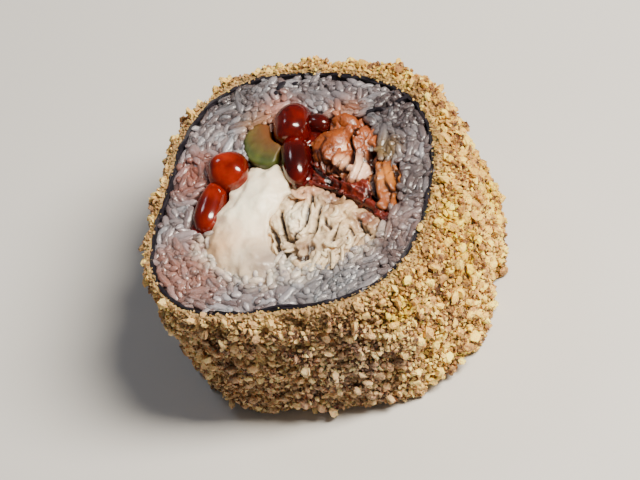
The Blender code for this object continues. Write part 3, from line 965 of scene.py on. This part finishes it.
# %% Helpers for the materials
def colour(red, green, blue):
    """A display colour from 0 to 255 as the linear colour that shaders use."""
    shares = [value / 255 for value in (red, green, blue)]
    return [s / 12.92 if s <= 0.04045 else ((s + 0.055) / 1.055) ** 2.4 for s in shares] + [1]


def shader_of(material):
    """The one shader that gives a material its look."""
    return material.node_tree.nodes["Principled BSDF"]


def new_material(name, **even):
    """A material whose shader gets these values, the same all over."""
    material = bpy.data.materials.new(name)
    material.use_nodes = True
    for socket, value in even.items():
        shader_of(material).inputs[socket.replace("_", " ")].default_value = value
    return material


def wire(material, socket, output):
    """Link an output to one of the shader's sockets."""
    material.node_tree.links.new(output, shader_of(material).inputs[socket])


def lumps(material, size, detail=3.0):
    """A noise whose lumps are about this size in metres, from 0 to 1."""
    space = add_node(material, "ShaderNodeTexCoord", {}).outputs["Object"]
    mapped = add_node(material, "ShaderNodeMapping", {"Vector": space, "Scale": (1 / size,) * 3})
    sockets = {"Vector": mapped.outputs[0], "Scale": 1.0, "Detail": detail}
    return add_node(material, "ShaderNodeTexNoise", sockets).outputs[0]


def tint_of(material, name="tint"):
    """The number that each planted copy carries."""
    return add_node(material, "ShaderNodeAttribute", {}, attribute_name=name).outputs["Fac"]


def ramp(material, factor, *stops):
    """Colours along a ramp: each stop is its place and its display colour."""
    node = add_node(material, "ShaderNodeValToRGB", {"Fac": factor})
    elements = node.color_ramp.elements
    while len(elements) < len(stops):
        elements.new(0.5)
    for element, (place, shade) in zip(elements, stops):
        element.position = place
        element.color = colour(*shade)
    return node.outputs["Color"]


def mixed(material, factor, first, second):
    """Two colours mixed by a factor."""
    return add_node(material, "ShaderNodeMix", {0: factor, 6: first, 7: second}, data_type="RGBA").outputs[2]


def blended(material, first, second, share):
    """A number that is mostly the first and by this share the second."""
    return add_node(material, "ShaderNodeMix", {0: share, 2: first, 3: second}, data_type="FLOAT").outputs[0]


def stretched(material, value, low, high, to_low=0.0, to_high=1.0):
    """The stretch from low to high of a number, spread over another range."""
    sockets = {"Value": value, "From Min": low, "From Max": high, "To Min": to_low, "To Max": to_high}
    return add_node(material, "ShaderNodeMapRange", sockets).outputs[0]


def bump(material, size, depth, strength=0.6, detail=3.0):
    """Let fine lumps shade the surface."""
    sockets = {"Height": lumps(material, size, detail), "Distance": depth, "Strength": strength}
    wire(material, "Normal", add_node(material, "ShaderNodeBump", sockets).outputs[0])


# %% [markdown]
# Real food is stained by what it touches. A stain is a soft ball of colour at a place that is given
# as on the cut face. It fades from its full strength near the middle to nothing at its reach.
# The plainer finishes are two tones of one colour in soft lumps with stains over them.
# In a few places the same soft balls paint light and shade instead of a stain.

# %% Helpers that stain a colour
def stain(material, base, place, reach, shade, strength, full=0.3):
    """Tint a colour around a place, at full strength within this share of the reach."""
    space = add_node(material, "ShaderNodeTexCoord", {}).outputs["Object"]
    far = add_node(material, "ShaderNodeVectorMath", {0: space, 1: on_face(*place)}, operation="DISTANCE")
    near = stretched(material, far.outputs["Value"], reach * MM, full * reach * MM, 0, strength)
    return mixed(material, near, base, shade if isinstance(shade, bpy.types.NodeSocket) else colour(*shade))


def stained(material, base, stains):
    """Tint a colour by several stains, one after the other."""
    for one in stains:
        base = stain(material, base, *one)
    return base


def two_tone(name, size, dark, light, stains=(), stops=(0.3, 0.7), **even):
    """A material between two colours in lumps of this size, with stains over them."""
    material = new_material(name, **even)
    shade = ramp(material, lumps(material, size), (stops[0], dark), (stops[1], light))
    wire(material, "Base Color", stained(material, shade, stains))
    return material


# %% [markdown]
# Fried crumbs are pale gold where bread shows and brown where the oil took them.
# Each crumb's tint picks its place on one ramp, and broad patches of noise shift whole areas,
# so the coat isn't evenly speckled. The dust and the crust between the crumbs are darker, partly
# painted shade in the gaps, which sets the paler crumbs and flakes off. Stains make the same colours
# duller and darker at the front, the left and the back, painted shade on the sides away from the key
# light. One stain makes them paler at the lower right front, painted light where the key falls, and
# others make them yellower in patches.

# %% Material: fried crumbs
# Painted shade: duller, darker colours on the sides away from the key light.
PAINTED_SHADE_SIDES = (((-22, -12, -16), 24), ((-8, -28, -16), 22), ((-20, 20, -20), 28), ((4, 27, -20), 24))
# Painted light at the lower right front, where the key light falls.
PAINTED_LIGHT_LOWER_RIGHT = ((14, -24, -18), 19)
# Painted shade: darker still at the lower front.
PAINTED_SHADE_FRONT = ((-5, -27, -14), 11)
FRIED_YELLOW = (((17, -19, -10), 7), ((17, -18, -2), 5), ((4.5, -24, -5), 4), ((25, -5, -16), 7),
                ((22, 9, -4), 5))


def toned(material, base, hue, strength, value):
    """The same colour turned on the colour wheel, where 0.5 is no turn, and made stronger or lighter."""
    sockets = {"Hue": hue, "Saturation": strength, "Value": value, "Color": base}
    return add_node(material, "ShaderNodeHueSaturation", sockets).outputs["Color"]


def fried(name, tinted, shift=0.0):
    """The golden finish, from the crumbs' tints or from noise; shift makes it paler or darker."""
    material = new_material(name, Roughness=0.6, Specular_IOR_Level=0.25, Subsurface_Weight=0.25,
                            Subsurface_Scale=0.6 * MM)
    patches = blended(material, lumps(material, 8 * MM), lumps(material, 2.4 * MM), 0.5)
    patches = stretched(material, patches, 0.35, 0.65)
    fine = stretched(material, lumps(material, 0.5 * MM), 0.3, 0.7)
    own = tint_of(material) if tinted else fine
    value = blended(material, blended(material, own, patches, 0.4), fine, 0.2)
    value = stretched(material, value, 0, 1, shift, 1 + shift)
    golden = ramp(material, value, (0.08, (62, 42, 32)), (0.24, (112, 76, 50)), (0.4, (180, 132, 74)),
                  (0.62, (232, 188, 90)), (0.9, (255, 226, 118)))
    # The crust between the crumbs is mixed towards dark brown, partly painted shade in the gaps.
    if not tinted:
        golden = mixed(material, 0.7, golden, colour(88, 52, 30))
    brown = toned(material, golden, 0.493, 0.76, 0.94)
    pale = toned(material, golden, 0.507, 0.97, 1.28)
    yellow = toned(material, golden, 0.516, 1.12, 1.08)
    speckle = stretched(material, lumps(material, 1.5 * MM), 0.4, 0.55)
    yellow = mixed(material, speckle, golden, yellow)
    # Painted shade: duller, darker colours on the sides away from the key light.
    golden = stained(material, golden, [(*spot, brown, 1, 0.45) for spot in PAINTED_SHADE_SIDES])
    # Painted light: paler at the lower right front, where the key falls.
    golden = stain(material, golden, *PAINTED_LIGHT_LOWER_RIGHT, pale, 1)
    # Painted shade: darker still at the lower front.
    golden = stain(material, golden, *PAINTED_SHADE_FRONT, toned(material, golden, 0.496, 0.9, 0.72), 0.8)
    golden = stained(material, golden, [(*spot, yellow, 0.9) for spot in FRIED_YELLOW])
    rim = stretched(material, tint_of(material, "rim"), 0.2, 1, 0, 0.35)
    wire(material, "Base Color", mixed(material, rim, golden, colour(206, 174, 116)))
    bump(material, 0.3 * MM, 0.3 * MM, 0.9, detail=6)
    return material


# The dust fills the gaps and is shifted darker, partly painted shade there.
dust_finish = fried("fried_dust", True, -0.16)
crumb_finish = fried("fried_crumbs", True)
flake_finish = fried("fried_flakes", True, 0.08)
crust_finish = fried("fried_crust", False)

# %% [markdown]
# Seaweed is nearly black with a purple cast, thin and slightly shiny where it is damp.

# %% Material: seaweed
seaweed_finish = two_tone("damp_seaweed", 1.2 * MM, (10, 8, 14), (34, 29, 38),
                          Roughness=0.6, Specular_IOR_Level=0.25)
bump(seaweed_finish, 0.3 * MM, 0.1 * MM)

# %% [markdown]
# Cooked rice lets light in, so most of its colour comes from below the surface, and its skin is
# moist. Each grain is a little lighter or darker, and the lighter grains are bluer, partly a painted
# cool sheen. The rice beside the fillings is stained by them, and dark greys towards the seaweed on
# the right and at the top are painted shade. Where the knife dragged cheese over the rice, a patchy
# film of it lies on the grains.

# %% Material: rice
# Stains from the fillings, and dark greys that paint shade towards the seaweed.
RICE_STAINS_AND_SHADE = (
    ((-10.5, 12), 6, (134, 72, 54), 0.8),
    ((4, 14.5), 5, (172, 104, 78), 0.7),
    ((0.4, 14.6), 3.6, (150, 112, 78), 0.7),
    ((12.5, 8), 4, (172, 100, 56), 0.7),
    ((14.8, -1.7), 3.4, (120, 92, 34), 0.8),
    ((-19, -3), 9, (146, 98, 84), 0.75),
    ((9, -14), 7, (126, 96, 88), 0.6),
    ((-2, -18), 9, (118, 118, 122), 0.7),
    # Painted shade: dark greys towards the seaweed on the right, at the bottom right and at the top.
    ((20, 3), 10, (60, 52, 54), 0.8),
    ((8, -19), 6, (78, 62, 60), 0.65),
    ((16, -10), 6.5, (66, 56, 56), 0.7),
    ((9.5, 16), 4.5, (84, 78, 82), 0.6),
    ((14, 13), 5, (92, 82, 86), 0.7),
    ((0, 22), 8, (68, 62, 64), 0.75),
)
CHEESE_FILMS = (((-13, -1.5), 4.6), ((-11.5, -6), 4.6), ((-8.5, -9.5), 4.8), ((-4, -12), 4.2),
                ((4, -11.5), 6.4))


def rice_look(name, tinted):
    """Moist rice, tinted grain by grain or, for the body of rice, by noise."""
    material = new_material(name, Roughness=0.22, Subsurface_Weight=0.75, Subsurface_Scale=1.4 * MM,
                            Subsurface_Radius=(1.0, 0.85, 0.8), Coat_Weight=0.3, Coat_Roughness=0.12)
    own = tint_of(material) if tinted else lumps(material, 2.5 * MM)
    value = blended(material, own, lumps(material, 1.4 * MM), 0.4)
    # Lighter grains are bluer and darker ones warmer, partly a painted cool sheen.
    pale = ramp(material, value, (0.15, (96, 82, 84)), (0.5, (128, 117, 119)), (0.85, (164, 162, 170)))
    pale = stained(material, pale, RICE_STAINS_AND_SHADE)
    for place, reach in CHEESE_FILMS:
        patches = stretched(material, lumps(material, 1.3 * MM, detail=5), 0.36, 0.56)
        film = mixed(material, patches, pale, colour(220, 202, 184))
        pale = stain(material, pale, place, reach, film, 1, 0.4)
    wire(material, "Base Color", pale)
    bump(material, 0.42 * MM, 0.16 * MM, 0.9)
    return material


grain_finish = rice_look("rice_grain", True)
rice_finish = rice_look("rice_mass", False)

# %% [markdown]
# Cream cheese is warm white and faintly translucent, with a soft sheen where it is moist.
# Its peak has painted light and its lower left painted shade, and its left edge is stained beige.

# %% Material: cream cheese
CHEESE_STAINS_LIGHT_AND_SHADE = (
    # Painted light on the peak.
    ((-5.5, 2.5), 7, (255, 240, 214), 0.9),
    ((-13, -1.5), 5, (196, 150, 106), 0.7),
    # Painted shade on the lower left.
    ((-7, -10), 7.5, (136, 120, 112), 0.85),
)
cheese_finish = two_tone("cream_cheese", 3 * MM, (236, 210, 176), (252, 234, 204), CHEESE_STAINS_LIGHT_AND_SHADE,
                         Roughness=0.42, Subsurface_Weight=0.5, Subsurface_Scale=1.2 * MM,
                         Subsurface_Radius=(1.0, 0.85, 0.7), Coat_Weight=0.15)
bump(cheese_finish, 0.7 * MM, 0.22 * MM, detail=6)

# %% [markdown]
# Meat and fish share one recipe. Each flake's tint and a noise pick its place between a dark and
# a light colour, and stains browned by the pan or pale from a fresh break lie over them. A pale band
# along the salmon's big lump is a painted highlight. The gaps between the flakes get a dark colour,
# partly sauce and partly painted shade.

# %% Materials: meat and fish
def flesh_look(name, dark, light, sauce_and_shade, gloss, stains=(), radius=(1.0, 0.6, 0.4)):
    """Flaked flesh between a dark and a light colour, with sauce and painted shade in the gaps."""
    material = new_material(name, Roughness=gloss, Subsurface_Weight=0.35, Subsurface_Scale=0.8 * MM,
                            Subsurface_Radius=radius, Coat_Weight=0.25, Coat_Roughness=0.12)
    patches = blended(material, lumps(material, 1.6 * MM), lumps(material, 0.5 * MM), 0.4)
    value = blended(material, stretched(material, patches, 0.3, 0.7), tint_of(material), 0.45)
    shade = stained(material, ramp(material, value, (0.1, dark), (0.9, light)), stains)
    dark_gap_share = stretched(material, tint_of(material, "gap"), 0.35, 0.9)
    wire(material, "Base Color", mixed(material, dark_gap_share, shade, colour(*sauce_and_shade)))
    bump(material, 0.4 * MM, 0.22 * MM, 0.8, detail=5)
    return material


MEAT_STAINS = (
    ((-1.5, -4.4), 3.2, (255, 240, 210), 0.7),
    ((1.5, -0.6), 2.8, (210, 150, 114), 0.7),
    ((4.2, -0.5), 3, (146, 80, 56), 0.8),
    ((-2.2, -10.2), 2.8, (126, 94, 72), 0.75),
    ((6.2, -4.4), 4.2, (104, 50, 32), 0.95),
    ((6, -9), 4, (214, 172, 118), 0.5),
    ((7.4, -10.8), 3, (104, 52, 32), 0.95),
)
SALMON_STAINS_AND_HIGHLIGHT = (
    # Painted highlight: the first two make a pale band below the big lump's lip.
    ((8.3, -0.2), 1.6, (236, 184, 144), 0.9),
    ((6.6, -2.2), 1.6, (232, 176, 134), 0.9),
    ((10.2, -2.4), 2.7, (240, 198, 168), 0.95),
    ((8.4, -6.4), 3, (132, 82, 46), 0.7),
    ((12.5, 5.5), 4, (140, 70, 36), 0.7),
    ((5, 2), 2.5, (70, 20, 14), 0.7),
)
# Painted highlight: the pale band along the big lump's lip.
LUMP_LIP_HIGHLIGHT = (((8.6, 0.4), 1.3, (238, 188, 142), 0.9), ((10, 1.7), 1.3, (236, 182, 136), 0.9))
YELLOW_STAINS = (
    ((12.8, 1.5), 3, (150, 100, 40), 0.5),
    ((13.2, -6.4), 2.6, (190, 118, 46), 0.7),
    ((10, -9.5), 3, (120, 56, 26), 0.6),
)
meat_finish = flesh_look("white_meat", (150, 116, 82), (250, 226, 188), (50, 30, 16), 0.42, MEAT_STAINS,
                         radius=(1.0, 0.8, 0.6))
salmon_finish = flesh_look("salmon_flakes", (96, 42, 20), (166, 90, 48), (40, 11, 5), 0.3, SALMON_STAINS_AND_HIGHLIGHT)
browned_finish = flesh_look("salmon_browned", (98, 44, 14), (156, 78, 28), (60, 20, 8), 0.3, LUMP_LIP_HIGHLIGHT)
yellow_finish = flesh_look("salmon_yellow", (100, 48, 18), (168, 98, 42), (40, 12, 5), 0.32, YELLOW_STAINS)
strip_finish = flesh_look("glazed_strip", (44, 8, 5), (118, 36, 20), (20, 4, 3), 0.24)

# %% [markdown]
# Cucumber is clear green and a little translucent, so the roe beside it shines through as ochre.

# %% Material: cucumber
OCHRE_STAIN = ((5, 12.2), 7.4, (104, 56, 18), 0.95, 0.5)
cucumber_finish = two_tone("cucumber", 2.0 * MM, (42, 54, 12), (72, 80, 26), [OCHRE_STAIN],
                           Roughness=0.5, Subsurface_Weight=0.3, Subsurface_Scale=1.0 * MM,
                           Subsurface_Radius=(0.6, 1.0, 0.3))

# %% [markdown]
# Salmon roe is a clear red skin over orange oil. A dark base with light scattering in red below it
# and a hard gloss coat gives the glow and the small highlight without real glass, which exports badly.
# Part of the glow is painted: the left ball is painted darker on its right, as shade, and the big
# middle egg is painted orange on its left, as a glow.

# %% Material: roe
# Painted shade on the left ball's right side; the tail is a darker red.
BRIGHT_ROE_STAINS_AND_SHADE = (((-4.2, 10.6), 3.2, (50, 1, 1), 0.8), ((-12.5, 5), 4.5, (72, 3, 1), 0.8))
DARK_ROE_STAINS_AND_GLOW = (
    # Painted glow on the big middle egg's left side.
    ((2.8, 11.4), 2.6, (150, 44, 10), 0.8),
    ((2.6, 4.5), 4.2, (26, 0, 0), 0.9),
    ((8.4, 9.6), 2.4, (34, 2, 1), 0.8),
)
ROE_SKIN = {"stops": (0.35, 0.65), "Roughness": 0.17, "Subsurface_Weight": 0.35,
            "Subsurface_Scale": 1.0 * MM, "Subsurface_Radius": (1.0, 0.12, 0.04),
            "Coat_Weight": 0.4, "Coat_Roughness": 0.06}
bright_roe_finish = two_tone("roe_bright", 3 * MM, (92, 10, 2), (140, 32, 6), BRIGHT_ROE_STAINS_AND_SHADE, **ROE_SKIN)
dark_roe_finish = two_tone("roe_dark", 3 * MM, (58, 3, 1), (98, 10, 4), DARK_ROE_STAINS_AND_GLOW, **ROE_SKIN)

# %% [markdown]
# Each finished piece now gets its finish and rides on the slice, and the solid it replaces is hidden.
# Nothing of it may reach into the surface that the slice lies on.

# %% Give the pieces their finishes and attach them to the slice
PIECES = (
    (crust, crust_finish, "fried_crumb", "crumb_coat"),
    (crumb_dust, dust_finish, "fried_crumb", "crumb_coat"),
    (crumb_shards, crumb_finish, "fried_crumb", "crumb_coat"),
    (crumb_flakes, flake_finish, "fried_crumb", "crumb_coat"),
    (seaweed, seaweed_finish, "seaweed", "nori"),
    (rice_body, rice_finish, "rice", "rice"),
    (rice_grains, grain_finish, "rice", "rice"),
    (seaweed_flecks, seaweed_finish, "seaweed", None),
    (cheese, cheese_finish, "cream_cheese", "cream_cheese"),
    (meat, meat_finish, "white_crab", "crab"),
    (meat_strands, meat_finish, "white_crab", "crab"),
    (salmon, salmon_finish, "salmon", "salmon"),
    (browned, browned_finish, "salmon", "salmon"),
    (salmon_end, yellow_finish, "salmon", "salmon_end"),
    (dark_strip, strip_finish, "dark_fish", "dark_fish"),
    (cucumber, cucumber_finish, "cucumber", "cucumber"),
    (left_eggs, bright_roe_finish, "roe", "roe_left"),
    (left_body, dark_roe_finish, "roe", "roe_left"),
    (middle_eggs, dark_roe_finish, "roe", "roe_middle"),
    (middle_body, dark_roe_finish, "roe", "roe_middle"),
)
for piece, finish, slot, node in PIECES:
    for point in piece.data.vertices:
        point.co.z = max(point.co.z, FLOOR_GAP)
    piece.data.materials.clear()
    piece.data.materials.append(finish)
    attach(piece, "root")
    if node:
        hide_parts(node)
    print(piece.name, "has", len(piece.data.polygons), "faces")

# %% [markdown]
# The slice lies on a plain pale floor, large enough that its edge is never in view.

# %% Floor
bpy.ops.object.select_all(action="DESELECT")
bpy.ops.mesh.primitive_plane_add(size=6)
floor = bpy.context.object
floor.name = "floor"
floor_finish = two_tone("pale_floor", 90 * MM, (206, 204, 201), (212, 210, 207), Roughness=0.6)
floor.data.materials.append(floor_finish)

# %% [markdown]
# Soft boxes light the slice as in a food studio. The key stands to the right of the camera and
# lights the right of the coat, a small one behind lays a sheen on the cut, and the room fills the rest.

# %% Light
def soft_box(name, direction, distance, size, power, shade):
    """A round or oval light, so wide and so high, that faces the slice from a direction."""
    away = Vector(direction).normalized()
    light = bpy.data.lights.new(name, "AREA")
    light.shape = "ELLIPSE"
    light.size, light.size_y = size
    light.energy = power
    light.color = colour(*shade)[:3]
    lamp = in_scene(name, light)
    lamp.location = on_face(0, 0) + away * distance
    lamp.rotation_euler = away.to_track_quat("Z", "Y").to_euler()


soft_box("key", (0.82, -0.5, 1.08), 0.5, (0.14, 0.3), 8.4, (255, 246, 230))
soft_box("back", (-0.3, 1.0, 1.3), 0.5, (0.12, 0.12), 0.3, (236, 242, 255))
room = bpy.data.worlds.new("room")
bpy.context.scene.world = room
room.use_nodes = True
room.node_tree.nodes["Background"].inputs["Color"].default_value = colour(226, 226, 228)
room.node_tree.nodes["Background"].inputs["Strength"].default_value = 0.14

# %% [markdown]
# The camera has a long lens, looks down at about fifty degrees and is turned on its own axis.
# The slice fills the height of the picture, so its small things can be seen.

# %% Camera
CAMERA_ELEVATION = math.radians(50.5)
CAMERA_ROLL = math.radians(-30.5)
CAMERA_DISTANCE = 0.5
LENS = 192

camera = in_scene("camera", bpy.data.cameras.new("camera"))
back = Vector((0, -math.cos(CAMERA_ELEVATION), math.sin(CAMERA_ELEVATION)))
camera.location = ROLL_AXIS + Vector((0, 0, 0.5 * SLICE_HEIGHT)) + back * CAMERA_DISTANCE
roll = Matrix.Rotation(CAMERA_ROLL, 4, "Z")
camera.rotation_euler = ((-back).to_track_quat("-Z", "Y").to_matrix().to_4x4() @ roll).to_euler()
camera.data.lens = LENS
camera.data.clip_start = 0.05
bpy.context.scene.camera = camera
